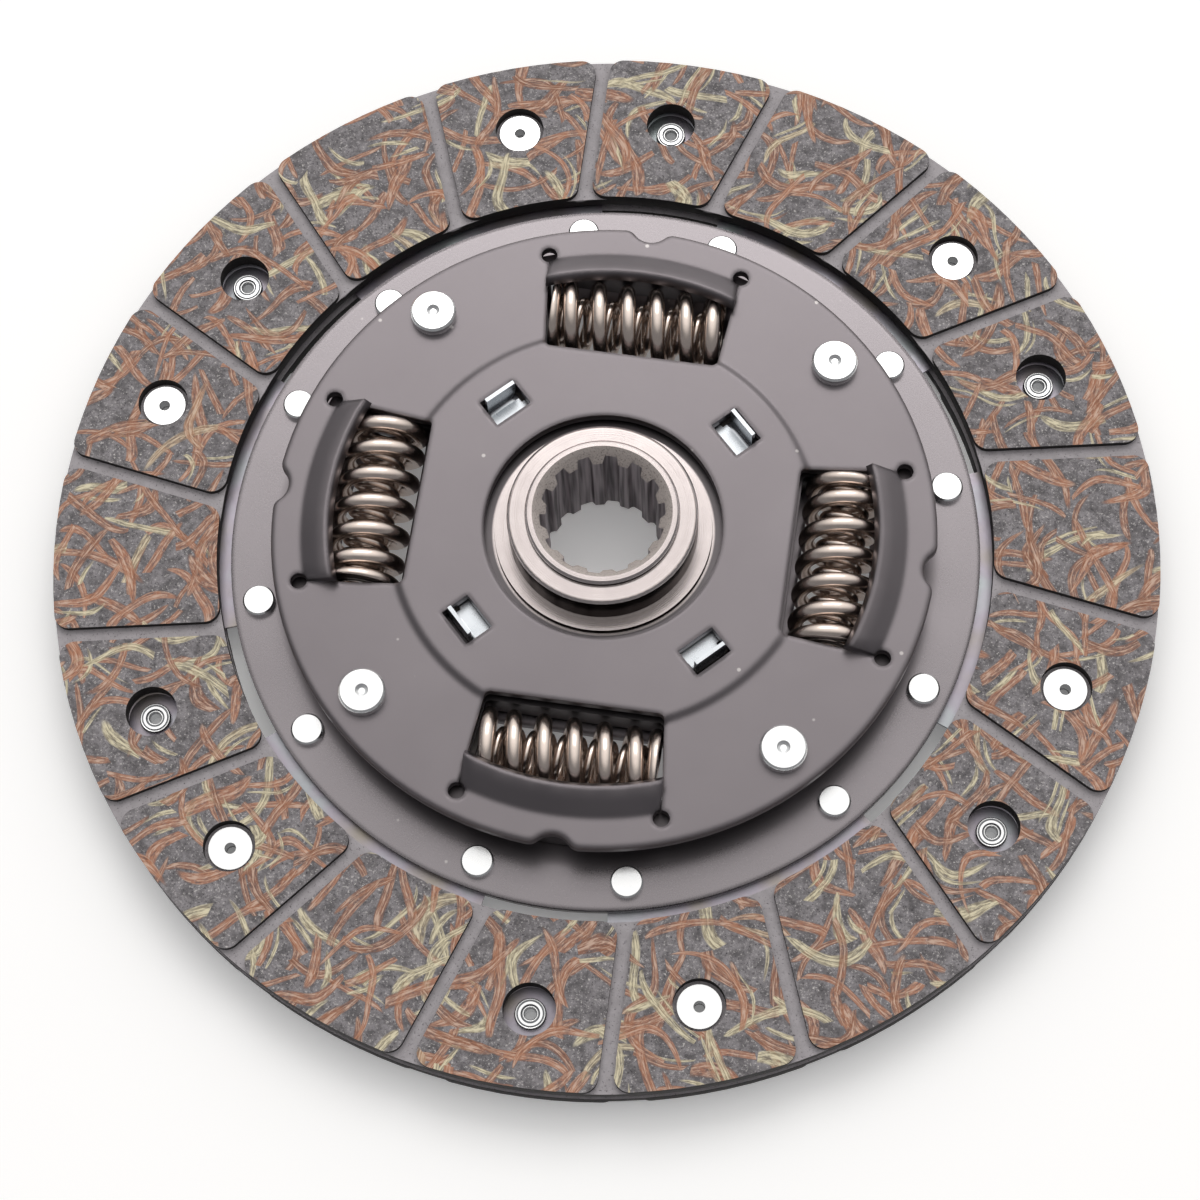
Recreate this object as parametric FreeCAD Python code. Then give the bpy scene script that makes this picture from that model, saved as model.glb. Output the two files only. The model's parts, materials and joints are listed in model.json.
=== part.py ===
"""Clutch disc with wound damper springs, a splined hub and riveted friction facings.

Millimetres. The disc turns about Z. The height z = 0 is half way between the two
friction faces, and +Z points to the side of the retainer plate.
"""
import FreeCAD
import Part
import math
import os

V = FreeCAD.Vector
CENTRE = V(0, 0, 0)
UP = V(0, 0, 1)

# Friction facings
facing_outer_r = 107.5
facing_bore_gap = 2.5           # from the disc plate's rim to the bore of the facings
facing_thickness = 3.5
friction_height = 9.5           # over both friction faces
pad_count = 18
groove_width = 2.8
groove_depth = 1.3
groove_offset = 14.3            # radius of the circle that every groove line touches
groove_turn = -9.2              # direction of the first groove, degrees
pad_corner_r = 3.0

# Rivets through the facings, and the sunk holes that they sit in
facing_rivet_shift = 1.45       # from the middle of a facing out to the rivet circle
front_rivet_turn = 49.3         # first rivet with its head in the front facing
rear_rivet_turn = 30.0          # first rivet with its head in the rear facing
rivets_per_facing = 6
facing_rivet_head_r = 4.15
facing_rivet_head_depth = 1.6   # from the friction face down to the head
facing_rivet_head_thickness = 0.9
facing_rivet_shank_r = 2.0
facing_rivet_bore_r = 1.1
facing_rivet_tail_r = 3.0
facing_rivet_tail_height = 1.2
facing_hole_r = 4.95
rivet_clearance = 0.1

# Cushion segments between the facings
segment_count = 6
segment_thickness = 0.7
segment_rim_gap = 2.5           # from the blades' rim to the facings' rim
blade_bore_gap = 1.6            # from the facings' bore to the blades
blade_start = 20.35             # degrees, first segment
blade_end = 79.65
neck_start = 38.9
neck_end = 80.5
neck_step_gap = 0.8             # from the facings' bore to the step beside a neck
neck_end_gap = 4.5              # from the rivet circle in to the end of a neck
land_top_r = 5.6                # pressed land round each facing rivet
land_foot_r = 8.5

# Disc plate and its rivets to the segments
disc_plate_hub_gap = 0.45
disc_plate_rim = 5.1            # from the circle of these rivets to the plate's rim
segment_rivet_rim_gap = 4.0     # from the retainer's rim to the circle of these rivets
segment_rivet_half_turn = 12.0  # degrees either side of each gap between necks
segment_rivet_head_r = 3.1
segment_rivet_head_height = 1.5
segment_rivet_shank_r = 2.2

# Both side plates of the damper
plate_thickness = 2.2
plate_gap = 8.0                 # between the two side plates
plate_rise = 0.73               # raised middle of each side plate
plate_step_gap = 3.9            # from the springs' circle in to the foot of the rise
plate_step_run = 1.4
retainer_rim = 3.2              # from the heads of the stop rivets to the retainer's rim
retainer_edge_r = 0.8
retainer_hub_gap = 1.98
rim_notch_r = 4.0
rim_notch_depth = 2.3
rim_notch_mouth_r = 2.5

# Damper springs, each with a smaller one inside it that is wound the other way
spring_washer_gap = 3.3         # from the friction washers' rim to the springs
spring_outer_r = 8.2
spring_wire_d = 3.1
spring_length = 34.0
spring_free_turns = 5
spring_closed_pitch = 3.2       # between the turns that lie closed at each end
inner_spring_gap = 0.35         # between the wires of the two springs
inner_spring_wire_d = 1.8
inner_spring_end_gap = 0.3      # shorter than the outer spring, at each end
inner_spring_free_turns = 10
inner_spring_closed_pitch = 1.9
coil_points = 12                # places a turn that set the path of a wire

# Windows for the springs; each gap is measured from the side of a spring
window_count = 4
window_flare = 2.2              # how much further the outer corners stand apart, each side
window_outer_gap = 2.3
window_corner_r = 1.2
retainer_window_gap = 1.2
disc_window_clearance = 0.12    # between the disc plate's window edge and a spring
lip_fold_gap = 4.6
lip_run = 5.3
lip_rise = 3.2
lip_side_gap = 0.5
relief_hole_r = 1.6

# Stop rivets, which also hold the side plates apart
stop_flange_gap = 4.7           # from the circle of these rivets to the flange's rim
stop_first_turn = 45.0
stop_body_r = 4.4
stop_shank_r = 3.0
stop_head_r = 4.5
stop_head_height = 2.2
stop_dimple_r = 1.25
stop_dimple_depth = 0.6

# Hub
hub_top = 20.5
hub_nose_wall = 1.39            # round the lead-in cone
hub_nose_height = 1.35
hub_barrel_width = 3.49         # from the nose out to the barrel
hub_ledge_width = 2.71          # from the barrel out to the ledges
hub_ledge_height = 2.44         # over the flange
hub_bottom = -4.25
hub_rear_ledge_height = 3.76
hub_edge = 0.5
flange_rim = 3.47               # from the corners of the flange's windows to its rim
flange_thickness = 6.0
flange_window_inner_gap = 0.7
flange_window_outer_gap = 0.6
flange_notch_floor_gap = 0.5
flange_notch_corner_r = 2.0
hub_travel = 7.0                # degrees each way
stop_gap = 0.15

# Spline in the hub
spline_count = 14
spline_minor_r = 10.9
spline_depth = 1.1
spline_root_width = 2.3
spline_mouth_width = 3.0
spline_edge_r = 0.35            # rounding of the teeth and of their roots
spline_turn = 90.7
lead_in_width = 2.46
lead_in_height = 3.0
bore_chamfer = 0.6

# Friction washers, pressure ring and guide ring
washer_hub_gap = 3.15
washer_width = 9.9
front_washer_thickness = 0.6
rear_washer_thickness = 1.3
ring_thickness = 0.8
tab_past_washer = 0.1           # from the friction washers' rim to the outside of the tabs
ring_body_gap = 1.6             # from the ring's rim out to its tabs
tab_width = 6.8
tab_above_face = 2.5
tab_bend_r = 0.9                # inside the bend
tab_hole_radial = 5.95
tab_outer_gap = 1.0
tab_side_gap = 0.6
cone_washer_rim_gap = 2.9       # from the cone washer's rim to the ring's
cone_washer_thickness = 0.35
guide_ring_hub_gap = 0.09
guide_ring_washer_gap = 0.3
guide_ring_below_ledge = 1.3
guide_ring_edge = 0.25
seat_gap = 0.02                 # between washers that lie on each other

# Heights that follow from the sizes above
front_face_z = friction_height / 2
facing_back_z = front_face_z - facing_thickness
segment_half = segment_thickness / 2
disc_plate_top = segment_half + plate_thickness
retainer_low = disc_plate_top + plate_gap
retainer_top = retainer_low + plate_thickness
rear_washer_low = disc_plate_top - plate_rise + seat_gap
flange_low = rear_washer_low + rear_washer_thickness + seat_gap
flange_top = flange_low + flange_thickness
damper_mid = (disc_plate_top + retainer_low) / 2
hub_ledge_z = flange_top + hub_ledge_height
hub_rear_ledge_z = flange_low - hub_rear_ledge_height

# Radii and half widths that follow from the sizes above, from the hub outwards
spline_major_r = spline_minor_r + spline_depth
lead_in_r = spline_minor_r + lead_in_width
hub_nose_r = lead_in_r + hub_nose_wall
hub_barrel_r = hub_nose_r + hub_barrel_width
hub_ledge_r = hub_barrel_r + hub_ledge_width
washer_inner_r = hub_ledge_r + washer_hub_gap
washer_outer_r = washer_inner_r + washer_width
ring_outer_r = washer_outer_r + tab_past_washer
ring_rim_r = ring_outer_r - ring_thickness - ring_body_gap
cone_washer_outer_r = ring_rim_r - cone_washer_rim_gap
spring_circle_r = washer_outer_r + spring_washer_gap + spring_outer_r
window_half_inner = spring_length / 2
window_half_outer = window_half_inner + window_flare
spring_inner_side = spring_circle_r - spring_outer_r
spring_outer_side = spring_circle_r + spring_outer_r
window_outer_y = spring_outer_side + window_outer_gap
lip_fold_r = spring_outer_side + lip_fold_gap
lip_half_width = window_half_outer - lip_side_gap
disc_window_inner_y = spring_circle_r - math.sqrt(
    (spring_outer_r + disc_window_clearance) ** 2 - (plate_gap / 2) ** 2)
disc_plate_hole_r = hub_ledge_r + disc_plate_hub_gap
retainer_hole_r = hub_ledge_r + retainer_hub_gap
flange_window_inner_y = spring_inner_side - flange_window_inner_gap
flange_window_outer_y = spring_outer_side + flange_window_outer_gap
flange_window_flare = window_flare * (flange_window_outer_y - flange_window_inner_y) / (
    window_outer_y - flange_window_inner_y)
flange_r = flange_rim + math.hypot(flange_window_outer_y,
                                   window_half_inner + flange_window_flare)
stop_circle_r = flange_r - stop_flange_gap
plate_step_r = spring_circle_r - plate_step_gap
retainer_r = stop_circle_r + stop_head_r + retainer_rim
segment_rivet_circle_r = retainer_r + segment_rivet_rim_gap
segment_inner_r = segment_rivet_circle_r - neck_end_gap
disc_plate_r = segment_rivet_circle_r + disc_plate_rim
facing_inner_r = disc_plate_r + facing_bore_gap
facing_rivet_r = (facing_inner_r + facing_outer_r) / 2 + facing_rivet_shift
neck_step_r = facing_inner_r + neck_step_gap
blade_inner_r = facing_inner_r + blade_bore_gap
segment_outer_r = facing_outer_r - segment_rim_gap
inner_spring_outer_r = spring_outer_r - spring_wire_d - inner_spring_gap
inner_spring_length = spring_length - 2 * inner_spring_end_gap

# How far a cutter reaches past the faces that it cuts
PAST = 1.0

# How near an edge lies to a place that it is picked by
NEAR = 1e-3


def polar(radius, angle, z=0.0):
    """Point at a radius and an angle in degrees."""
    a = math.radians(angle)
    return V(radius * math.cos(a), radius * math.sin(a), z)


def turned(shape, angle):
    """Copy of a shape, turned about the disc's axis."""
    copy = shape.copy()
    copy.rotate(CENTRE, UP, angle)
    return copy


def round_pattern(shape, count, first=0.0):
    """Copies of a shape at equal turns about the disc's axis."""
    return [turned(shape, first + k * 360.0 / count) for k in range(count)]


def cylinder(radius, low, high, centre=CENTRE):
    return Part.makeCylinder(radius, high - low, V(centre.x, centre.y, low))


def ring(inner_r, outer_r, low, high):
    return cylinder(outer_r, low, high).cut(cylinder(inner_r, low, high))


def prism(points, low, high):
    """Upright solid over a closed outline of (x, y) points."""
    corners = [V(x, y, low) for x, y in points]
    face = Part.Face(Part.makePolygon(corners + corners[:1]))
    return face.extrude(V(0, 0, high - low))


def revolved(profile, centre=CENTRE, sweep=360.0):
    """Solid of revolution about an upright axis, from a closed outline of (r, z)."""
    corners = [V(r, 0, z) for r, z in profile]
    face = Part.Face(Part.makePolygon(corners + corners[:1]))
    solid = face.revolve(CENTRE, UP, sweep)
    solid.translate(V(centre.x, centre.y, 0))
    return solid


def sector(inner_r, outer_r, start, end, low, high):
    """Upright solid over a piece of a ring between two angles."""
    middle = (start + end) / 2
    outer = Part.Arc(polar(outer_r, start, low), polar(outer_r, middle, low),
                     polar(outer_r, end, low)).toShape()
    inner = Part.Arc(polar(inner_r, end, low), polar(inner_r, middle, low),
                     polar(inner_r, start, low)).toShape()
    out = Part.makeLine(polar(inner_r, start, low), polar(outer_r, start, low))
    back = Part.makeLine(polar(outer_r, end, low), polar(inner_r, end, low))
    face = Part.Face(Part.Wire([out, outer, back, inner]))
    return face.extrude(V(0, 0, high - low))


def upright_edges(shape, test):
    """Edges parallel to Z whose place in plan passes a test of x and y."""
    found = []
    for edge in shape.Edges:
        a, b = edge.Vertexes[0].Point, edge.Vertexes[-1].Point
        if (a - b).cross(UP).Length < 1e-6 and (a - b).Length > 1e-6 and test(a.x, a.y):
            found.append(edge)
    return found


def flipped(shape, turn):
    """Copy of a shape turned over about X, then turned about Z."""
    copy = shape.copy()
    copy.rotate(CENTRE, V(1, 0, 0), 180)
    copy.rotate(CENTRE, UP, turn)
    return copy


# Friction facings

def groove_point(index, along, side):
    """Point on one edge of a groove; side is -1 or 1."""
    turn = groove_turn + index * 360.0 / pad_count
    across = groove_offset + side * groove_width / 2
    point = polar(along, turn) + polar(across, turn + 90)
    return (point.x, point.y)


def friction_pad():
    """Raised pad between the first two grooves."""
    near, far = 0.6 * facing_inner_r, 1.3 * facing_outer_r   # well past both rims
    outline = [groove_point(0, near, 1), groove_point(0, far, 1),
               groove_point(1, far, -1), groove_point(1, near, -1)]
    floor = front_face_z - groove_depth
    band = ring(facing_inner_r, facing_outer_r, floor, front_face_z)
    pad = band.common(prism(outline, floor, front_face_z))
    return pad.makeFillet(pad_corner_r, upright_edges(pad, lambda x, y: True))


def friction_facing():
    """Front facing, with its sunk rivet seats and its holes over the other rivets."""
    seat_z = front_face_z - facing_rivet_head_depth - facing_rivet_head_thickness
    base = ring(facing_inner_r, facing_outer_r, facing_back_z, front_face_z - groove_depth)
    facing = base.multiFuse(round_pattern(friction_pad(), pad_count))
    own = polar(facing_rivet_r, front_rivet_turn)
    other = polar(facing_rivet_r, rear_rivet_turn)
    shank_r = facing_rivet_shank_r + rivet_clearance
    low, high = facing_back_z - PAST, front_face_z + PAST
    holes = round_pattern(cylinder(facing_hole_r, seat_z, high, own), rivets_per_facing)
    holes += round_pattern(cylinder(shank_r, low, high, own), rivets_per_facing)
    holes += round_pattern(cylinder(facing_hole_r, low, high, other), rivets_per_facing)
    return facing.cut(holes).removeSplitter()


def facing_rivet():
    """Hollow rivet of the front facing, with its tail rolled over the segment."""
    centre = polar(facing_rivet_r, front_rivet_turn)
    head_top = front_face_z - facing_rivet_head_depth
    seat_z = head_top - facing_rivet_head_thickness
    sheet_back = facing_back_z - segment_thickness
    tail_end = sheet_back - facing_rivet_tail_height
    roll = (facing_rivet_tail_r - facing_rivet_bore_r) / 3
    profile = [
        (facing_rivet_bore_r, head_top),
        (facing_rivet_head_r, head_top),
        (facing_rivet_head_r, seat_z),
        (facing_rivet_shank_r, seat_z),
        (facing_rivet_shank_r, sheet_back),
        (facing_rivet_tail_r, sheet_back),
        (facing_rivet_tail_r, tail_end + roll),
        (facing_rivet_tail_r - roll, tail_end),
        (facing_rivet_bore_r + roll, tail_end),
        (facing_rivet_bore_r, tail_end + roll),
    ]
    return revolved(profile, centre)


# Cushion segments

def pressed_land(centre, side):
    """Dished land that carries the sheet to one facing; side is 1 for the front."""
    high = facing_back_z
    slope = segment_thickness / 2
    profile = [
        (0, side * high),
        (land_top_r, side * high),
        (land_foot_r, side * segment_half),
        (land_foot_r, -side * segment_half),
        (land_foot_r - slope, -side * segment_half),
        (land_top_r - slope, side * (high - segment_thickness)),
        (0, side * (high - segment_thickness)),
    ]
    return revolved(profile, centre)


def cushion_segment():
    """First spring-steel segment: a blade under three pads and a neck with two rivets."""
    low, high = -segment_half, segment_half
    blade = sector(blade_inner_r, segment_outer_r, blade_start, blade_end, low, high)
    neck = sector(segment_inner_r, blade_inner_r + PAST, neck_start, neck_end, low, high)
    step = sector(neck_step_r, blade_inner_r + 2 * PAST, blade_end, neck_end + PAST, low, high)
    neck = neck.cut(step)
    sheet = blade.fuse(neck).removeSplitter()
    front = polar(facing_rivet_r, front_rivet_turn)
    rear = polar(facing_rivet_r, rear_rivet_turn)
    sheet = sheet.cut([cylinder(land_foot_r, low, high, front),
                       cylinder(land_foot_r, low, high, rear)])
    sheet = sheet.fuse([pressed_land(front, 1), pressed_land(rear, -1)])
    shank_r = facing_rivet_shank_r + rivet_clearance
    holes = [cylinder(shank_r, -facing_thickness, facing_thickness, front),
             cylinder(shank_r, -facing_thickness, facing_thickness, rear)]
    for angle in segment_rivet_angles()[1:3]:
        centre = polar(segment_rivet_circle_r, angle)
        holes.append(cylinder(segment_rivet_shank_r + rivet_clearance, low, high, centre))
    return sheet.cut(holes).removeSplitter()


def segment_rivet_angles():
    """Angles of all segment rivets, two beside each gap between the necks."""
    angles = []
    for k in range(segment_count):
        middle = rear_rivet_turn + k * 360.0 / segment_count
        angles += [middle - segment_rivet_half_turn, middle + segment_rivet_half_turn]
    return angles


def segment_rivet():
    """Solid rivet through the disc plate and one neck, on the X axis."""
    crown = segment_rivet_head_height / 5
    top = disc_plate_top + segment_rivet_head_height
    foot = -segment_half - segment_rivet_head_height
    profile = [
        (0, top),
        (segment_rivet_head_r - crown, top),
        (segment_rivet_head_r, top - crown),
        (segment_rivet_head_r, disc_plate_top),
        (segment_rivet_shank_r, disc_plate_top),
        (segment_rivet_shank_r, -segment_half),
        (segment_rivet_head_r, -segment_half),
        (segment_rivet_head_r, foot + crown),
        (segment_rivet_head_r - crown, foot),
        (0, foot),
    ]
    return revolved(profile, polar(segment_rivet_circle_r, 0))


# Side plates of the damper

def window_prism(inner_y, outer_y, low, high):
    """Flared cutter for the window on the +Y side, rounded at its inner corners."""
    flare = window_flare / (window_outer_y - inner_y)
    half = window_half_inner + flare * (outer_y - inner_y)
    cut = prism([(-window_half_inner, inner_y), (window_half_inner, inner_y),
                 (half, outer_y), (-half, outer_y)], low, high)
    return cut.makeFillet(window_corner_r, upright_edges(cut, lambda x, y: y < outer_y - PAST))


def window_cut(inner_y, low, high):
    """Cutter for a side plate's window, closed by an arc where the lip folds."""
    return window_prism(inner_y, lip_fold_r + PAST, low, high).common(
        cylinder(lip_fold_r, low, high))


def spring_lip():
    """Lip bent up over the outer side of a spring, on the +Y side."""
    length = math.hypot(lip_run, lip_rise)
    across_r = plate_thickness * lip_rise / length
    across_z = plate_thickness * lip_run / length
    root_drop = (plate_thickness - across_z) * lip_run / lip_rise
    root = lip_fold_r - across_r + root_drop
    top = plate_thickness
    profile = [
        (lip_fold_r + PAST, 0),
        (lip_fold_r + PAST, top),
        (lip_fold_r, top),
        (lip_fold_r - lip_run, top + lip_rise),
        (lip_fold_r - lip_run - across_r, top + lip_rise - across_z),
        (root, 0),
    ]
    band = turned(revolved(profile, sweep=90), 45)
    keep = prism([(-lip_half_width, 0), (lip_half_width, 0),
                  (lip_half_width, 2 * lip_fold_r), (-lip_half_width, 2 * lip_fold_r)],
                 -PAST, top + lip_rise + PAST)
    return band.common(keep)


def waved_rim(plate):
    """The retainer's rim with its rounded notches and its rounded upper edge."""
    centre = polar(retainer_r + rim_notch_r - rim_notch_depth, 0)
    notch = cylinder(rim_notch_r, -PAST, plate_thickness + PAST, centre)
    plate = plate.cut(round_pattern(notch, window_count))
    mouths = upright_edges(plate, lambda x, y: math.hypot(x, y) > retainer_r - NEAR)
    plate = plate.makeFillet(rim_notch_mouth_r, mouths)
    inside = retainer_r - rim_notch_depth - NEAR
    rim = []
    for edge in plate.Edges:
        place = edge.Vertexes[0].Point
        flat = edge.BoundBox.ZLength < NEAR and abs(place.z - plate_thickness) < NEAR
        if flat and math.hypot(place.x, place.y) > inside:
            rim.append(edge)
    return plate.makeFillet(retainer_edge_r, rim)


def side_plate(outer_r, hole_r, window_inner_y, finish_rim):
    """Side plate with its inner face at z = 0, bulging to +Z."""
    low, high = 0, plate_thickness
    step_top_r = plate_step_r - plate_step_run
    profile = [
        (hole_r, low + plate_rise),
        (step_top_r, low + plate_rise),
        (plate_step_r, low),
        (outer_r, low),
        (outer_r, high),
        (plate_step_r, high),
        (step_top_r, high + plate_rise),
        (hole_r, high + plate_rise),
    ]
    plate = finish_rim(revolved(profile))
    above = high + lip_rise + PAST
    reliefs = [cylinder(relief_hole_r, -PAST, above, V(x, window_outer_y, 0))
               for x in (-window_half_outer, window_half_outer)]
    stop_hole = cylinder(stop_shank_r + rivet_clearance, -PAST, above,
                         polar(stop_circle_r, stop_first_turn))
    cuts = []
    for cutter in reliefs + [window_cut(window_inner_y, -PAST, above), stop_hole]:
        cuts += round_pattern(cutter, window_count)
    lips = round_pattern(spring_lip().cut(reliefs), window_count)
    return plate.cut(cuts).fuse(lips).removeSplitter()


def retainer_plate():
    """Front side plate, with rim notches and the holes for the ring's tabs."""
    plate = side_plate(retainer_r, retainer_hole_r, spring_inner_side - retainer_window_gap,
                       waved_rim)
    high = plate_thickness + plate_rise + PAST
    far = ring_outer_r + tab_outer_gap
    near = far - tab_hole_radial
    half = tab_width / 2 + tab_side_gap
    hole = prism([(near, -half), (far, -half), (far, half), (near, half)], -PAST, high)
    plate = plate.cut(round_pattern(hole, window_count, stop_first_turn))
    plate.translate(V(0, 0, retainer_low))
    return plate


def disc_plate():
    """Rear side plate, which also carries the cushion segments."""
    plate = flipped(side_plate(disc_plate_r, disc_plate_hole_r, disc_window_inner_y,
                               lambda blank: blank), 0)
    plate.translate(V(0, 0, disc_plate_top))
    holes = []
    for angle in segment_rivet_angles():
        centre = polar(segment_rivet_circle_r, angle)
        holes.append(cylinder(segment_rivet_shank_r + rivet_clearance, segment_half - PAST,
                              disc_plate_top + PAST, centre))
    return plate.cut(holes)


def stop_rivet():
    """Shouldered rivet that spaces the side plates and stops the hub."""
    crown = stop_head_height / 5
    top = retainer_top + stop_head_height
    foot = segment_half - stop_head_height
    profile = [
        (0, top - stop_dimple_depth),
        (stop_dimple_r / 2, top - stop_dimple_depth),
        (stop_dimple_r, top),
        (stop_head_r - crown, top),
        (stop_head_r, top - crown),
        (stop_head_r, retainer_top),
        (stop_shank_r, retainer_top),
        (stop_shank_r, retainer_low),
        (stop_body_r, retainer_low),
        (stop_body_r, disc_plate_top),
        (stop_shank_r, disc_plate_top),
        (stop_shank_r, segment_half),
        (stop_head_r, segment_half),
        (stop_head_r, foot + crown),
        (stop_head_r - crown, foot),
        (0, foot),
    ]
    return revolved(profile, polar(stop_circle_r, stop_first_turn))


# Hub

def spline_cut():
    """Cutter for the splined bore, with its lead-in cone and rear chamfer."""
    low, high = hub_bottom - PAST, hub_top + PAST
    root, mouth = spline_root_width / 2, spline_mouth_width / 2
    inside = spline_minor_r - PAST
    wide = mouth + (mouth - root) * PAST / spline_depth
    slot = prism([(inside, -wide), (spline_major_r, -root), (spline_major_r, root),
                  (inside, wide)], low, high)
    tool = turned(cylinder(spline_minor_r, low, high), spline_turn)
    tool = tool.multiFuse(round_pattern(slot, spline_count, spline_turn)).removeSplitter()
    tool = tool.makeFillet(spline_edge_r, upright_edges(tool, lambda x, y: True))
    cone_slope = lead_in_width / lead_in_height
    cone = revolved([(0, hub_top - lead_in_height), (spline_minor_r, hub_top - lead_in_height),
                     (lead_in_r + cone_slope * PAST, high), (0, high)])
    rear_r = spline_major_r + bore_chamfer
    chamfer = revolved([(0, low), (rear_r + PAST, low), (rear_r - bore_chamfer * 2,
                        hub_bottom + bore_chamfer * 2), (0, hub_bottom + bore_chamfer * 2)])
    return tool.multiFuse([cone, chamfer])


def flange_window():
    """Cutter for the flange's window on the +Y side, straight at its outer edge."""
    return window_prism(flange_window_inner_y, flange_window_outer_y,
                        flange_low - PAST, flange_top + PAST)


def hub():
    """Forged hub: barrel, nose, ledges and the flange that the springs push."""
    nose_z = hub_top - hub_nose_height
    core_r = spline_minor_r / 2
    profile = [
        (core_r, hub_top),
        (hub_nose_r - hub_edge, hub_top),
        (hub_nose_r, hub_top - hub_edge),
        (hub_nose_r, nose_z),
        (hub_barrel_r - hub_edge, nose_z),
        (hub_barrel_r, nose_z - hub_edge),
        (hub_barrel_r, hub_ledge_z),
        (hub_ledge_r, hub_ledge_z),
        (hub_ledge_r, flange_top),
        (flange_r, flange_top),
        (flange_r, flange_low),
        (hub_ledge_r, flange_low),
        (hub_ledge_r, hub_rear_ledge_z),
        (hub_barrel_r, hub_rear_ledge_z),
        (hub_barrel_r, hub_bottom + hub_edge),
        (hub_barrel_r - hub_edge, hub_bottom),
        (core_r, hub_bottom),
    ]
    body = revolved(profile)
    window = flange_window()
    reach = stop_body_r + stop_gap
    half = hub_travel + math.degrees(math.asin(reach / stop_circle_r))
    floor_r = stop_circle_r - stop_body_r - flange_notch_floor_gap
    notch = sector(floor_r, flange_r + PAST, stop_first_turn - half, stop_first_turn + half,
                   flange_low - PAST, flange_top + PAST)
    corners = upright_edges(notch, lambda x, y: math.hypot(x, y) < floor_r + PAST)
    notch = notch.makeFillet(flange_notch_corner_r, corners)
    cuts = round_pattern(window, window_count) + round_pattern(notch, window_count)
    return body.cut(cuts + [spline_cut()])


# Damper springs

def wound_spring(outer_r, wire_d, length, free_turns, closed_pitch, hand):
    """Spring in the window on the +Y side, with one closed and ground turn at each end.

    The hand is 1 for a right-handed spring and -1 for a left-handed one.
    """
    coil_r, half = outer_r - wire_d / 2, length / 2
    pitch = (length - 2 * closed_pitch) / free_turns
    last = free_turns / 2 + 1
    count = round(2 * last * coil_points)
    places = []
    for k in range(count + 1):
        turns = last * (2 * k / count - 1)
        closed = max(0, abs(turns) - free_turns / 2)
        along = (abs(turns) - closed) * pitch + closed * closed_pitch
        places.append(polar(coil_r, 360 * turns * hand, math.copysign(along, turns)))
    path = Part.BSplineCurve()
    path.interpolate(places)
    start = path.tangent(path.FirstParameter)[0]
    section = Part.Wire(Part.Circle(places[0], start, wire_d / 2).toShape())
    coil = Part.Wire(path.toShape()).makePipeShell([section], True, True)
    coil = coil.common(cylinder(outer_r + PAST, -half, half))
    coil.rotate(CENTRE, V(0, 1, 0), 90)
    coil.translate(V(0, spring_circle_r, damper_mid))
    return coil


def damper_spring():
    return wound_spring(spring_outer_r, spring_wire_d, spring_length, spring_free_turns,
                        spring_closed_pitch, 1)


def inner_spring():
    return wound_spring(inner_spring_outer_r, inner_spring_wire_d, inner_spring_length,
                        inner_spring_free_turns, inner_spring_closed_pitch, -1)


# Washers, pressure ring and guide ring

def front_washer():
    low = flange_top + seat_gap
    return ring(washer_inner_r, washer_outer_r, low, low + front_washer_thickness)


def rear_washer():
    high = rear_washer_low + rear_washer_thickness
    return ring(washer_inner_r, washer_outer_r, rear_washer_low, high)


def ring_low():
    return flange_top + front_washer_thickness + 2 * seat_gap


def ring_tab():
    """Arm of the pressure ring with its end bent up, on the X axis."""
    low, top = ring_low(), retainer_top + plate_rise + tab_above_face
    inside, upper = ring_outer_r - ring_thickness, low + ring_thickness
    outline = [V(ring_rim_r - PAST, 0, low), V(ring_outer_r, 0, low), V(ring_outer_r, 0, top),
               V(inside, 0, top), V(inside, 0, upper), V(ring_rim_r - PAST, 0, upper)]
    side = Part.Face(Part.makePolygon(outline + outline[:1]))
    side.translate(V(0, -tab_width / 2, 0))
    tab = side.extrude(V(0, tab_width, 0))
    for x, z, radius in ((inside, upper, tab_bend_r),
                         (ring_outer_r, low, tab_bend_r + ring_thickness)):
        bend = [e for e in tab.Edges if e.BoundBox.YLength > tab_width - NEAR
                and (e.Vertexes[0].Point - V(x, e.Vertexes[0].Y, z)).Length < NEAR]
        tab = tab.makeFillet(radius, bend)
    return tab


def pressure_ring():
    """Flat ring with four tabs bent up into the holes of the retainer plate."""
    low = ring_low()
    body = ring(washer_inner_r, ring_rim_r, low, low + ring_thickness)
    tabs = round_pattern(ring_tab(), window_count, stop_first_turn)
    return body.multiFuse(tabs).removeSplitter()


def cone_washer():
    """Dished spring washer that presses the ring off the retainer plate."""
    low = ring_low() + ring_thickness + seat_gap
    high = retainer_low + plate_rise - seat_gap
    t = cone_washer_thickness
    return revolved([(washer_inner_r, high - t), (cone_washer_outer_r, low),
                     (cone_washer_outer_r, low + t), (washer_inner_r, high)])


def guide_ring():
    """Ring round the hub's ledge that centres the washers."""
    inner = hub_ledge_r + guide_ring_hub_gap
    outer = washer_inner_r - guide_ring_washer_gap
    low, high = flange_top + seat_gap, hub_ledge_z - guide_ring_below_ledge
    return revolved([(inner, low), (outer, low), (outer, high - guide_ring_edge),
                     (outer - guide_ring_edge, high), (inner, high)])


def export(name, solids):
    """Write one node, made of one solid or of several separate ones."""
    shape = solids[0] if len(solids) == 1 else Part.makeCompound(solids)
    shape.exportStep("parts/" + name + ".step")


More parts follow.
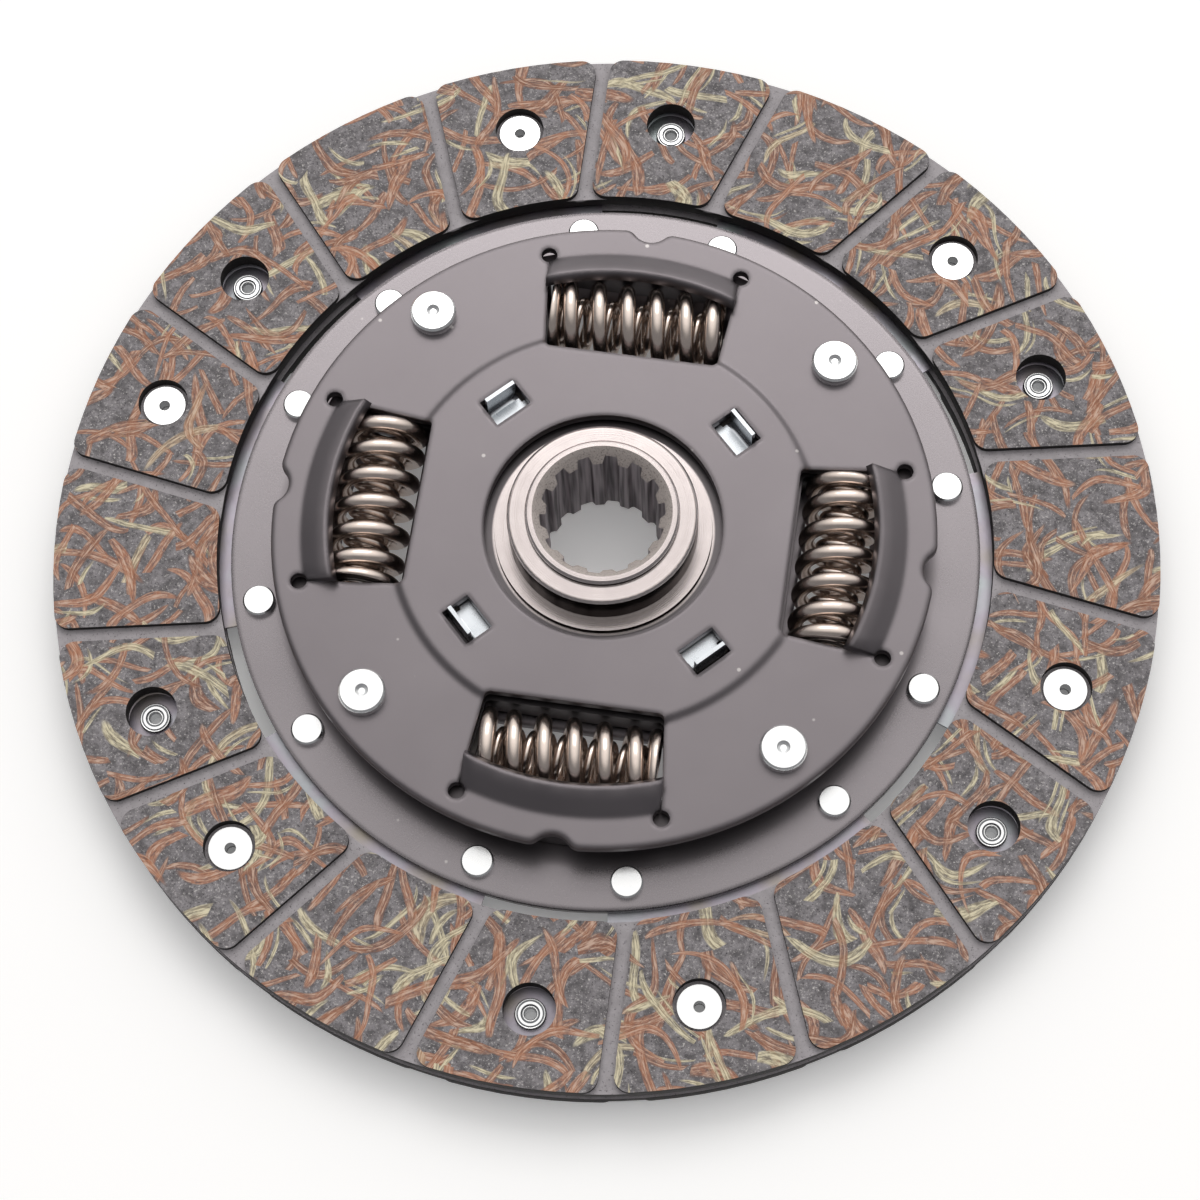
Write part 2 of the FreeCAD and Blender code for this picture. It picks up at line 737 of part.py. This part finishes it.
def main():
    os.makedirs("parts", exist_ok=True)
    rear_turn = front_rivet_turn + rear_rivet_turn
    facing = friction_facing()
    rivet = facing_rivet()
    export("front_facing", [facing])
    export("rear_facing", [flipped(facing, rear_turn)])
    export("front_facing_rivets", round_pattern(rivet, rivets_per_facing))
    export("rear_facing_rivets", round_pattern(flipped(rivet, rear_turn), rivets_per_facing))
    for k, segment in enumerate(round_pattern(cushion_segment(), segment_count)):
        export("cushion_segment_%d" % (k + 1), [segment])
    export("segment_rivets", [turned(segment_rivet(), a) for a in segment_rivet_angles()])
    export("disc_plate", [disc_plate()])
    export("retainer_plate", [retainer_plate()])
    export("stop_rivets", round_pattern(stop_rivet(), window_count))
    export("hub", [hub()])
    for k, spring in enumerate(round_pattern(damper_spring(), window_count)):
        export("damper_spring_%d" % (k + 1), [spring])
    for k, spring in enumerate(round_pattern(inner_spring(), window_count)):
        export("inner_spring_%d" % (k + 1), [spring])
    export("front_friction_washer", [front_washer()])
    export("rear_friction_washer", [rear_washer()])
    export("pressure_ring", [pressure_ring()])
    export("spring_washer", [cone_washer()])
    export("guide_ring", [guide_ring()])


main()
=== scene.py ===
"""Looks of a clutch disc: moulded fibre facings, blackened steel plates, wound springs.

Metres, in the part's own frame: Z is the disc's axis and +Z points to the retainer plate.
"""
import bpy
import json
import math
from mathutils import Matrix, Vector


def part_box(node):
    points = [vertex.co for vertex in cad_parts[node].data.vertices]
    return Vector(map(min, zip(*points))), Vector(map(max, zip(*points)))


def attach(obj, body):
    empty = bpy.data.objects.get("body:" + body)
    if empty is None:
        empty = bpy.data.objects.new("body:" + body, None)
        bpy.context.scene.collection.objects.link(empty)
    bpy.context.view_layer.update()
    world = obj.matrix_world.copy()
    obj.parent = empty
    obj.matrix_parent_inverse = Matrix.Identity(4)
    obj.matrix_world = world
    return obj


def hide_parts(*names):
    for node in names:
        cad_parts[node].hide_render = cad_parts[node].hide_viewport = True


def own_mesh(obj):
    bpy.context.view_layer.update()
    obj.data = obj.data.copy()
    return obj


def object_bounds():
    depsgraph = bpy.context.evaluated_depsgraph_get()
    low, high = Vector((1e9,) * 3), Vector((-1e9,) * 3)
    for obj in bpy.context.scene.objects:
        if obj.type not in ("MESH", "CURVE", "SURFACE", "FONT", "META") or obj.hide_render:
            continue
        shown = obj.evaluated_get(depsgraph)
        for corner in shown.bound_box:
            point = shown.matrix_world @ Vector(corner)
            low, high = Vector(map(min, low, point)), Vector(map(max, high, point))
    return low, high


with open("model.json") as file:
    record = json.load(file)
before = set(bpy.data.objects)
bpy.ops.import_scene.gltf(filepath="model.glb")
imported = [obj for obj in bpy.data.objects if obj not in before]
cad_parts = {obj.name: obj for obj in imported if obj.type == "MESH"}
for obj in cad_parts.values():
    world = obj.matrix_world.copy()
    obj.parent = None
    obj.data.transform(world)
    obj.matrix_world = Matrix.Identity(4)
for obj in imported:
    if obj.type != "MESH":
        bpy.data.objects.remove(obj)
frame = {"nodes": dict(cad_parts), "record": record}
cad_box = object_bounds()

MM = 0.001
PER_MM = 1000.0                 # metres to the millimetres that the finishes work in

# Camera, at the photograph's angle
CAMERA_PLACE = Vector((41.37, -194.65, 507.63)) * MM
CAMERA_AIM = Vector((0.62, -10.46, 0.0)) * MM
CAMERA_ROLL = 4.213             # degrees
CAMERA_LENS = 83.38             # on a sensor 36 mm wide

# Damper springs and the ones nested inside them, whose outer sizes come from the frame:
# nodes' name, wire's radius, free turns and their pitch, pitch of the turn that lies closed
# at each end, hand, and how far each of the four has turned about its own axis, in degrees
SPRINGS = [("damper_spring_", 1.55 * MM, 5, 5.74 * MM, 3.2 * MM, 1, (114, 76, 86, 47)),
           ("inner_spring_", 0.9 * MM, 10, 2.96 * MM, 1.9 * MM, -1, (10, 100, 200, -60))]
HUB_TRAVEL = 7.0                # degrees each way

# Rivets of the facings, for the rolled ends that the holes show
FACING_RIVET_CIRCLE = 93.0 * MM
FRONT_RIVET_TURN = 49.3
REAR_RIVET_TURN = 30.0
RIVETS_PER_FACING = 6

# Height of the pads' floor, which tells the slots from the pads
PAD_FLOOR = 3.9 * MM

# Radii where a finish changes, in millimetres
BORE_MOUTH_R = 13.36            # the splined bore's bevelled mouth lies inside it
LEDGE_R = 20.95                 # the hub's flange lies outside it
RETAINER_R = 64.0               # the retainer plate's rim, past which the disc plate shows

# How the rings at a rivet's rolled end rise over their seat, which is RING_SEAT above the
# disc's middle: radius and rise, in millimetres
RING_SEAT = 0.62
RING_PROFILE = [(1.05, -0.9), (1.1, -0.35), (1.25, -0.1), (1.42, -0.05), (1.56, -0.2),
                (1.66, -0.7), (1.78, -0.2), (1.95, 0.02), (2.12, 0.0), (2.26, -0.2),
                (2.36, -0.7), (2.48, -0.14), (2.66, 0.08), (2.84, 0.04), (2.96, -0.14),
                (3.0, -0.5)]

# Rounding of the edges that catch the light
EDGE_BREAKS = {"retainer_plate": 0.18 * MM, "disc_plate": 0.15 * MM, "hub": 0.15 * MM,
               "stop_rivets": 0.2 * MM, "pressure_ring": 0.12 * MM,
               "front_facing": 0.15 * MM, "rear_facing": 0.15 * MM}


class Link:
    """A socket in a finish's node tree. Sums of links are written as plain expressions."""

    def __init__(self, tree, socket=None):
        self.tree = tree
        self.socket = socket

    def node(self, kind, settings=None, inputs=None, out=0):
        """A new node: settings first, then values or links by socket, giving one output."""
        made = self.tree.nodes.new(kind)
        for name, value in (settings or {}).items():
            if name == "stops":
                ramp_stops(made.color_ramp, value)
            else:
                setattr(made, name, value)
        for name, value in (inputs or {}).items():
            if isinstance(value, Link):
                self.tree.links.new(value.socket, made.inputs[name])
            else:
                made.inputs[name].default_value = value
        return Link(self.tree, made.outputs[out])

    def math(self, operation, *values):
        return self.node("ShaderNodeMath", {"operation": operation}, dict(enumerate(values)))

    def __add__(self, other):
        return self.math("ADD", self, other)

    def __radd__(self, other):
        return self.math("ADD", other, self)

    def __sub__(self, other):
        return self.math("SUBTRACT", self, other)

    def __rsub__(self, other):
        return self.math("SUBTRACT", other, self)

    def __mul__(self, other):
        return self.math("MULTIPLY", self, other)

    def __rmul__(self, other):
        return self.math("MULTIPLY", other, self)

    def above(self, low, high):
        """0 below low, 1 above high, smooth between them; high may be the smaller one."""
        return self.node("ShaderNodeMapRange", {"interpolation_type": "SMOOTHSTEP"},
                         {"Value": self, "From Min": low, "From Max": high})

    def mix(self, low, high):
        """Colour low where this link is 0, and high where it is 1."""
        return self.node("ShaderNodeMix", {"data_type": "RGBA"},
                         {0: self, 6: low, 7: high}, out=2)

    def axis(self, index):
        return self.node("ShaderNodeSeparateXYZ", None, {0: self}, out=index)

    def moved(self, offset):
        return self.node("ShaderNodeVectorMath", {"operation": "ADD"}, {0: self, 1: offset})

    def scaled(self, factor):
        return self.node("ShaderNodeVectorMath", {"operation": "SCALE"},
                         {0: self, "Scale": factor})

    def radius(self):
        """Distance from the disc's axis."""
        x, y = self.axis(0), self.axis(1)
        return x.math("SQRT", x * x + y * y)

    def upright(self):
        """1 on walls that stand upright, and 0 on level faces."""
        normal = self.node("ShaderNodeTexCoord", out=1).axis(2)
        return normal.math("ABSOLUTE", normal).above(0.5, 0.3)

    def from_rivets(self, first_turn):
        """Distance from the nearest axis of one facing's rivets."""
        turn = self.math("ARCTAN2", self.axis(1), self.axis(0)) - math.radians(first_turn)
        step = math.tau / RIVETS_PER_FACING
        turn = turn.math("WRAP", turn, step / 2, -step / 2)
        x = self.radius() * turn.math("COSINE", turn) - FACING_RIVET_CIRCLE / MM
        y = self.radius() * turn.math("SINE", turn)
        return x.math("SQRT", x * x + y * y)

    def noise(self, scale, detail=2.0, rough=0.5, out=0):
        """Cloudy noise of this place; scale is in features per millimetre."""
        return self.node("ShaderNodeTexNoise", None,
                         {"Vector": self, "Scale": scale, "Detail": detail,
                          "Roughness": rough}, out=out)


def ramp_stops(ramp, stops):
    while len(ramp.elements) < len(stops):
        ramp.elements.new(0.5)
    for element, (place, colour) in zip(ramp.elements, stops):
        element.position = place
        element.color = colour


def linear(red, green, blue):
    """Colour from 0 to 255 values as they look on a screen."""
    shown = [v / 255 for v in (red, green, blue)]
    return tuple(v / 12.92 if v < 0.04045 else ((v + 0.055) / 1.055) ** 2.4
                 for v in shown) + (1.0,)


def finish_material(name):
    """An empty finish: its material, its surface shader and the place in millimetres."""
    material = bpy.data.materials.new(name)
    material.use_nodes = True
    tree = material.node_tree
    surface = tree.nodes["Principled BSDF"]
    place = Link(tree).node("ShaderNodeTexCoord", out=3).scaled(PER_MM)
    return material, surface, place


def plug(surface, **inputs):
    """Sets sockets of the surface shader; an underscore in a name stands for a space."""
    for name, value in inputs.items():
        socket = surface.inputs[name.replace("_", " ")]
        if isinstance(value, Link):
            value.tree.links.new(value.socket, socket)
        else:
            socket.default_value = value


def bump(height, strength, distance_mm, fold_r=0.0):
    """Small relief; a fold radius, in millimetres, also softens the edges of folds."""
    inputs = {"Strength": strength, "Distance": distance_mm * MM, "Height": height}
    if fold_r:
        inputs["Normal"] = height.node("ShaderNodeBevel", {"samples": 4},
                                       {"Radius": fold_r * MM})
    return height.node("ShaderNodeBump", None, inputs)


# Facings

# The fibre strands: cells' spacing, half a strand's length, its width and the layer's shift,
# in millimetres
STRAND_LAYERS = [(11.5, 7.0, 1.7, 3.0), (12.0, 8.0, 2.1, 41.0), (12.5, 9.0, 1.7, 87.0),
                 (12.5, 8.5, 2.3, 131.0), (13.5, 9.5, 1.9, 177.0)]


def strand_layer(place, spacing, reach, width, shift):
    """One curved strand in each cell of a loose pattern, and a thin one beside some.

    Near ones lie in much the same direction, as bundles do.
    Gives how far in each strand a point is, 1 in the middle and 0 outside, the streaks along
    it and the cell's random values.
    """
    spot = place.moved((shift, -0.7 * shift, 0))
    sway = spot.noise(0.07, 0.0, out=1).moved((-0.5, -0.5, -0.5)).scaled(9.0)
    spot = spot.moved(sway)
    cells = spot.node("ShaderNodeTexVoronoi", {"voronoi_dimensions": "2D"},
                      {"Vector": spot, "Scale": 1 / spacing, "Randomness": 0.85})
    outputs = cells.socket.node.outputs
    chance = Link(cells.tree, outputs["Color"])
    centre = Link(cells.tree, outputs["Position"])
    lie = centre.noise(0.04, 0.0) * 13.0 + chance.axis(0) * 0.7
    laid = spot.node("ShaderNodeVectorRotate", {"rotation_type": "Z_AXIS"},
                     {"Vector": spot, "Center": centre, "Angle": lie})
    laid = laid.node("ShaderNodeVectorMath", {"operation": "SUBTRACT"}, {0: laid, 1: centre})
    along, across = laid.axis(0), laid.axis(1)
    across = across + along * along * (chance.axis(1) - 0.5) * 0.14
    far = along * along * (1 / reach ** 2)
    thick = 1 - (across * across * (4 / width ** 2) + far * far)
    beside = across - width
    late = along - 0.3 * reach
    thin = 1 - (beside * beside * (16 / width ** 2) + late * late * (2.6 / reach ** 2))
    thin = thin - chance.axis(2).above(0.72, 0.7)
    streaks = along.node("ShaderNodeCombineXYZ", None, {0: along * 0.3, 1: across * 2.6})
    return thick, thin, streaks.noise(1.0, 3.0, 0.7), chance


def facing_finish():
    material, surface, place = finish_material("moulded_fibre_facing")
    height = place.axis(2).math("ABSOLUTE", place.axis(2))
    on_pad = height.above(PAD_FLOOR / MM, PAD_FLOOR / MM + 0.1)

    mottle = place.noise(0.5, 5.0, 0.65)
    colour = mottle.above(0.32, 0.68).mix(linear(96, 93, 95), linear(146, 142, 145))
    grit = place.noise(2.4, 3.0, 0.7)
    colour = grit.above(0.57, 0.7).mix(colour, linear(206, 202, 200))
    colour = grit.above(0.43, 0.32).mix(colour, linear(70, 67, 70))

    relief = mottle * 0.4 + grit * 0.5
    for spacing, reach, width, shift in STRAND_LAYERS:
        thick, thin, streaks, chance = strand_layer(place, spacing, reach, width, shift)
        rusty = chance.axis(1).mix(linear(142, 96, 74), linear(186, 128, 98))
        rusty = streaks.above(0.46, 0.62).mix(rusty, linear(214, 182, 162))
        rusty = streaks.above(0.46, 0.34).mix(rusty, linear(98, 70, 60))
        # painted shade: each strand is darker towards its edges and lighter in its middle, for a
        # rounded look
        rusty = thick.above(0.5, 0.0).mix(rusty, linear(84, 66, 60))
        straw = streaks.above(0.38, 0.6).mix(linear(150, 138, 112), linear(236, 226, 194))
        pale = chance.axis(0).above(0.86, 0.88)
        rusty = pale.mix(rusty, straw)
        worn = (streaks + mottle).above(0.78, 1.08) * 0.45 + 0.45
        colour = (thick.above(-0.05, 0.5) * worn * on_pad).mix(colour, rusty)
        colour = (thin.above(0.0, 0.6) * worn * on_pad).mix(colour, straw)

    slot_colour = mottle.mix(linear(146, 141, 144), linear(196, 191, 195))
    slot_colour = grit.above(0.42, 0.3).mix(slot_colour, linear(104, 100, 103))
    colour = on_pad.mix(slot_colour, colour)
    # painted shade: every upright wall of the facings (bore, outer rim, hole and slot walls) is
    # darkened
    colour = place.upright().mix(colour, linear(46, 43, 43))
    plug(surface, Base_Color=colour, Roughness=mottle * 0.2 + 0.62,
         Normal=bump(relief, 0.55, 0.25), Specular_IOR_Level=0.35)
    return material


# Metals

def specks(place, spacing, share):
    """Scattered pale dust specks."""
    cells = place.node("ShaderNodeTexVoronoi", None, {"Vector": place, "Scale": 1 / spacing})
    chance = Link(cells.tree, cells.socket.node.outputs["Color"])
    return cells.above(0.1, 0.05) * chance.axis(0).above(1 - share, 1.02 - share)


def plate_finish():
    material, surface, place = finish_material("blackened_plate_steel")
    cloud = place.noise(0.05, 3.0, 0.5)
    grain = place.noise(3.0, 2.0, 0.6)
    colour = cloud.mix(linear(112, 107, 110), linear(124, 119, 122))
    # painted light: the disc plate past the retainer's rim is given a lighter colour, against the
    # retainer's shade on it
    rim_painted_lighter = cloud.mix(linear(126, 121, 124), linear(138, 133, 136))
    past = place.radius().above(RETAINER_R - 0.5, RETAINER_R + 1.5)
    colour = past.mix(colour, rim_painted_lighter)
    colour = (specks(place, 5.0, 0.2) * 0.6).mix(colour, linear(190, 186, 184))
    plug(surface, Base_Color=colour, Metallic=1.0,
         Roughness=grain * 0.1 + cloud * 0.08 - past * 0.07 + 0.26,
         Normal=bump(grain, 0.1, 0.05, fold_r=1.3))
    return material


def cushion_finish():
    material, surface, place = finish_material("rolled_spring_steel")
    cloud = place.noise(0.09, 2.0, 0.5)
    grain = place.noise(1.6, 4.0, 0.6)
    colour = cloud.node("ShaderNodeValToRGB",
                        {"stops": [(0.25, linear(160, 170, 170)), (0.5, linear(158, 152, 162)),
                                   (0.75, linear(150, 143, 132))]}, {0: cloud})
    plug(surface, Base_Color=colour, Metallic=1.0, Roughness=grain * 0.2 + 0.26,
         Normal=bump(grain, 0.1, 0.04))
    return material


def zinc_finish():
    material, surface, place = finish_material("bright_zinc")
    blotch = place.noise(0.9, 3.0, 0.6)
    colour = blotch.mix(linear(232, 234, 236), linear(250, 250, 250))
    front = place.from_rivets(FRONT_RIVET_TURN)
    rear = place.from_rivets(REAR_RIVET_TURN)
    facing_side = place.axis(2).above(-0.1, 0.1)
    rolled = rear * facing_side + front * (1 - facing_side)
    # painted shade: the two grooves round each rivet's rolled end are darkened
    groove_painted_shade = (rolled.above(1.48, 1.6) * rolled.above(1.88, 1.76)
               + rolled.above(2.24, 2.34) * rolled.above(2.54, 2.44))
    colour = groove_painted_shade.mix(colour, linear(92, 94, 98))
    centre = front.math("MINIMUM", front, rear)
    # painted shade: the hollow bore of each rivet, within 1.15 mm of its axis, is darkened
    colour = centre.above(1.15, 0.95).mix(colour, linear(74, 74, 78))
    # painted highlight: a pale glint in the very middle of each rivet's dark bore
    colour = centre.above(0.5, 0.3).mix(colour, linear(190, 194, 198))
    plug(surface, Base_Color=colour, Metallic=1.0, Roughness=blotch * 0.14 + 0.18,
         Normal=bump(blotch, 0.15, 0.06))
    return material


def hub_finish():
    """Steel with fine turning marks round its axis."""
    material, surface, place = finish_material("turned_hub_steel")
    radius = place.radius()
    across = radius.node("ShaderNodeCombineXYZ", None, {0: radius, 1: place.axis(2)})
    marks = across.noise(4.5, 3.0, 0.7)
    cloud = place.noise(0.16, 3.0, 0.6)
    colour = cloud.mix(linear(184, 175, 174), linear(205, 196, 195))
    colour = marks.above(0.4, 0.3).mix(colour, linear(156, 146, 143))
    # painted shade: every upright wall of the hub is darkened
    colour = place.upright().mix(colour, linear(62, 54, 50))
    inside = radius.above(BORE_MOUTH_R + 0.1, BORE_MOUTH_R - 0.1)
    pits = place.noise(3.2, 4.0, 0.75)
    mouth = cloud.mix(linear(184, 175, 170), linear(206, 197, 192))
    mouth = pits.above(0.5, 0.34).mix(mouth, linear(120, 110, 106))
    colour = inside.mix(colour, mouth)
    drawn = place.node("ShaderNodeMapping", None, {"Vector": place, "Scale": (1.2, 1.2, 0.06)})
    drawn = drawn.noise(1.0, 1.0).above(0.2, 0.8).mix(linear(86, 80, 84), linear(196, 188, 192))
    colour = (place.upright() * radius.above(BORE_MOUTH_R, BORE_MOUTH_R - 0.3)).mix(colour, drawn)
    flange = radius.above(LEDGE_R + 0.2, LEDGE_R + 0.7)
    colour = flange.mix(colour, cloud.mix(linear(84, 80, 82), linear(100, 96, 98)))
    plug(surface, Base_Color=colour, Metallic=1 - inside * 0.8,
         Roughness=marks * 0.18 + inside * 0.4 + flange * 0.15 + 0.1,
         Normal=bump(marks, 0.22, 0.06))
    return material


def spring_finish():
    material, surface, place = finish_material("oiled_spring_wire")
    cloud = place.noise(0.35, 3.0, 0.6)
    colour = cloud.mix(linear(206, 192, 184), linear(236, 222, 212))
    plug(surface, Base_Color=colour, Metallic=1.0, Roughness=cloud * 0.1 + 0.18,
         Normal=bump(place.noise(2.5, 2.0), 0.06, 0.04))
    return material


def ring_finish():
    material, surface, place = finish_material("satin_ring_steel")
    cloud = place.noise(0.3, 3.0, 0.6)
    colour = cloud.mix(linear(186, 191, 197), linear(212, 216, 220))
    plug(surface, Base_Color=colour, Metallic=1.0, Roughness=cloud * 0.15 + 0.2,
         Normal=bump(cloud, 0.1, 0.05))
    return material


def washer_finish():
    material, surface, place = finish_material("pressed_washer_compound")
    grain = place.noise(1.8, 4.0, 0.7)
    colour = grain.mix(linear(56, 52, 50), linear(92, 86, 82))
    plug(surface, Base_Color=colour, Roughness=grain * 0.2 + 0.6,
         Normal=bump(grain, 0.3, 0.08))
    return material


FINISHES = {"friction_facing": facing_finish, "zinc_rivets": zinc_finish,
            "cushion_steel": cushion_finish, "plate_rivets": zinc_finish,
            "plate_steel": plate_finish, "turned_steel": hub_finish,
            "spring_steel": spring_finish, "washer_compound": washer_finish,
            "ring_steel": ring_finish}


def break_edges(node, width):
    """Small rounding of a CAD node's sharp edges, which catches the light."""
    weld = node.modifiers.new("weld", "WELD")
    weld.merge_threshold = 0.002 * MM
    edge = node.modifiers.new("edge_break", "BEVEL")
    edge.width = width
    edge.segments = 2
    edge.limit_method = "ANGLE"
    edge.angle_limit = math.radians(38)
    edge.use_clamp_overlap = True
    edge.harden_normals = True


def dress_nodes():
    """Gives every CAD node the finish of its material slot, and the shown ones an edge break."""
    made = {slot: build() for slot, build in FINISHES.items()}
    for row in frame["record"]["subparts"]:
        node = frame["nodes"][row["node"]]
        node.data.materials.clear()
        node.data.materials.append(made[row["material_slot"]])
    for name, width in EDGE_BREAKS.items():
        break_edges(frame["nodes"][name], width)
    return made


# Pieces

def add_piece(name, vertices, faces, finish, body):
    mesh = bpy.data.meshes.new(name)
    mesh.from_pydata(vertices, [], faces)
    mesh.polygons.foreach_set("use_smooth", [True] * len(mesh.polygons))
    mesh.materials.append(finish)
    piece = bpy.data.objects.new(name, mesh)
    bpy.context.scene.collection.objects.link(piece)
    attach(piece, body)
    return piece


def wound_spring(node, wire_r, free_turns, pitch, closed_pitch, hand, spin, finish):
    """Spring with one closed and ground turn at each end, in the place of its CAD node."""
    low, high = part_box(node)
    centre = (low + high) / 2
    outward = Vector((centre.x, centre.y, 0)).normalized()
    along = Vector((outward.y, -outward.x, 0))
    across = Vector((0, 0, 1))
    size = high - low
    length = max(size.x, size.y)
    coil_r = size.z / 2 - wire_r
    last = free_turns / 2 + 1
    round_steps, wire_steps = 48, 16
    count = int(2 * last * round_steps)
    vertices, faces = [], []
    for k in range(count + 1):
        turns = last * (2 * k / count - 1)
        closed = max(0.0, abs(turns) - free_turns / 2)
        offset = math.copysign((abs(turns) - closed) * pitch + closed * closed_pitch, turns)
        angle = math.radians(360 * turns * hand + spin)
        radial = outward * math.sin(-angle) + across * math.cos(angle)
        for m in range(wire_steps):
            a = 2 * math.pi * m / wire_steps
            place = max(-length / 2, min(length / 2, offset + wire_r * math.sin(a)))
            vertices.append(centre + radial * (coil_r + wire_r * math.cos(a)) + along * place)
    for k in range(count):
        for m in range(wire_steps):
            a, b = k * wire_steps + m, k * wire_steps + (m + 1) % wire_steps
            faces.append((a, b, b + wire_steps, a + wire_steps))
    faces.append(tuple(range(wire_steps - 1, -1, -1)))
    faces.append(tuple(range(count * wire_steps, (count + 1) * wire_steps)))
    piece = add_piece("wound_" + node, vertices, faces, finish, "damper_springs")
    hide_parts(node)
    push = math.radians(HUB_TRAVEL) * (math.hypot(centre.x, centre.y) + coil_r + wire_r)
    1 - push / length
    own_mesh(piece)


def rolled_end_rings(name, first_turn, side, finish):
    """Nested rings at the rolled end of each hollow facing rivet; side is 1 for +Z."""
    base = RING_SEAT * MM
    steps = 48
    vertices, faces = [], []
    for k in range(RIVETS_PER_FACING):
        turn = math.radians(first_turn + k * 360 / RIVETS_PER_FACING)
        centre = Vector((math.cos(turn), math.sin(turn), 0)) * FACING_RIVET_CIRCLE
        start = len(vertices)
        for radius, rise in RING_PROFILE:
            for m in range(steps):
                a = 2 * math.pi * m / steps * side
                vertices.append(centre + Vector((math.cos(a) * radius * MM,
                                                 math.sin(a) * radius * MM,
                                                 side * (base + rise * MM))))
        for row in range(len(RING_PROFILE) - 1):
            for m in range(steps):
                a = start + row * steps + m
                b = start + row * steps + (m + 1) % steps
                faces.append((a, a + steps, b + steps, b))
    return add_piece(name, vertices, faces, finish, "disc")


# Stage

FLOOR_HALF = 14.0               # half the floor's width, in metres
FLOOR_LIFT = 0.17               # added evenly to the floor as it is seen, white in the open
SKY_TOWARDS = (0.0, 0.58, 0.81)  # the brightest part of the studio's light
SKY_STRENGTH = 1.2


def floor_finish():
    """Plain pale floor, the same everywhere, that shows white and keeps the shadow."""
    material = bpy.data.materials.new("pale_floor")
    material.use_nodes = True
    tree = material.node_tree
    tree.nodes.remove(tree.nodes["Principled BSDF"])
    start = Link(tree)
    sees = start.node("ShaderNodeLightPath", out=0)
    rays = sees.socket.node.outputs
    shown = sees.math("MAXIMUM", sees, Link(tree, rays["Is Glossy Ray"]))
    shown = shown.math("MAXIMUM", shown, Link(tree, rays["Is Transmission Ray"]))
    lit = start.node("ShaderNodeBsdfDiffuse", None, {"Color": (0.8, 0.8, 0.8, 1)})
    paper = start.node("ShaderNodeBsdfDiffuse", None, {"Color": (1, 1, 1, 1)})
    lift = start.node("ShaderNodeEmission", None, {"Strength": FLOOR_LIFT})
    white = start.node("ShaderNodeAddShader", None, {0: paper, 1: lift})
    surface = start.node("ShaderNodeMixShader", None, {0: shown, 1: lit, 2: white})
    tree.links.new(surface.socket, tree.nodes["Material Output"].inputs["Surface"])
    return material


def underside_finish():
    """Pale and plain, for views from below."""
    material = bpy.data.materials.new("plain_underside")
    material.use_nodes = True
    surface = material.node_tree.nodes["Principled BSDF"]
    plug(surface, Base_Color=(0.8, 0.8, 0.8, 1.0), Roughness=0.8)
    return material


def lay_sheet(name, drop, finish):
    """Wide level sheet, this far below the disc's lowest face."""
    mesh = bpy.data.meshes.new(name)
    z = cad_box[0].z - drop
    corners = [(x * FLOOR_HALF, y * FLOOR_HALF, z)
               for x, y in ((-1, -1), (1, -1), (1, 1), (-1, 1))]
    mesh.from_pydata(corners, [], [(0, 1, 2, 3)])
    mesh.materials.append(finish)
    sheet = bpy.data.objects.new(name, mesh)
    bpy.context.scene.collection.objects.link(sheet)


def set_world():
    """Soft studio: bright overhead and on the far side, dim towards the near side."""
    world = bpy.data.worlds.new("studio")
    bpy.context.scene.world = world
    world.use_nodes = True
    tree = world.node_tree
    direction = Link(tree).node("ShaderNodeTexCoord", out=0)
    towards = direction.node("ShaderNodeVectorMath", {"operation": "DOT_PRODUCT"},
                             {0: direction, 1: SKY_TOWARDS}, out=1)
    colour = towards.above(0.3, 0.97).mix((0.2, 0.2, 0.205, 1), (1.0, 0.985, 0.965, 1))
    below = direction.axis(2).above(0.0, -0.3)
    colour = below.mix(colour, (0.6, 0.6, 0.6, 1))
    background = tree.nodes["Background"]
    tree.links.new(colour.socket, background.inputs["Color"])
    background.inputs["Strength"].default_value = SKY_STRENGTH


def add_lamp(name, place, aim, size, power, colour=(1, 1, 1)):
    lamp = bpy.data.lights.new(name, "AREA")
    lamp.shape = "RECTANGLE"
    lamp.size, lamp.size_y = size
    lamp.energy = power
    lamp.color = colour
    holder = bpy.data.objects.new(name, lamp)
    bpy.context.scene.collection.objects.link(holder)
    holder.location = place
    holder.rotation_euler = (Vector(aim) - Vector(place)).to_track_quat("-Z", "Y").to_euler()


def place_camera():
    data = bpy.data.cameras.new("camera")
    data.sensor_width = 36.0
    data.lens = CAMERA_LENS
    data.clip_start = 0.01
    data.clip_end = 100.0
    camera = bpy.data.objects.new("camera", data)
    bpy.context.scene.collection.objects.link(camera)
    look = (CAMERA_AIM - CAMERA_PLACE).to_track_quat("-Z", "Y").to_matrix().to_4x4()
    roll = Matrix.Rotation(math.radians(-CAMERA_ROLL), 4, "Z")
    camera.matrix_world = Matrix.Translation(CAMERA_PLACE) @ look @ roll
    bpy.context.scene.camera = camera


def build_scene():
    bpy.context.scene.view_settings.view_transform = "Standard"
    finishes = dress_nodes()
    for name, wire_r, free_turns, pitch, closed_pitch, hand, spins in SPRINGS:
        for k, spin in enumerate(spins, 1):
            wound_spring(name + str(k), wire_r, free_turns, pitch, closed_pitch, hand, spin,
                         finishes["spring_steel"])
    zinc = finishes["zinc_rivets"]
    rolled_end_rings("rear_rivet_rolled_ends", REAR_RIVET_TURN, 1, zinc)
    rolled_end_rings("front_rivet_rolled_ends", FRONT_RIVET_TURN, -1, zinc)
    lay_sheet("floor", 0.02 * MM, floor_finish())
    lay_sheet("floor_underside", 2 * MM, underside_finish())
    set_world()
    add_lamp("key_softbox", (-0.1, 1.1, 1.3), (0, 0, 0), (1.2, 0.9), 7.0, (1, 0.98, 0.96))
    place_camera()


build_scene()
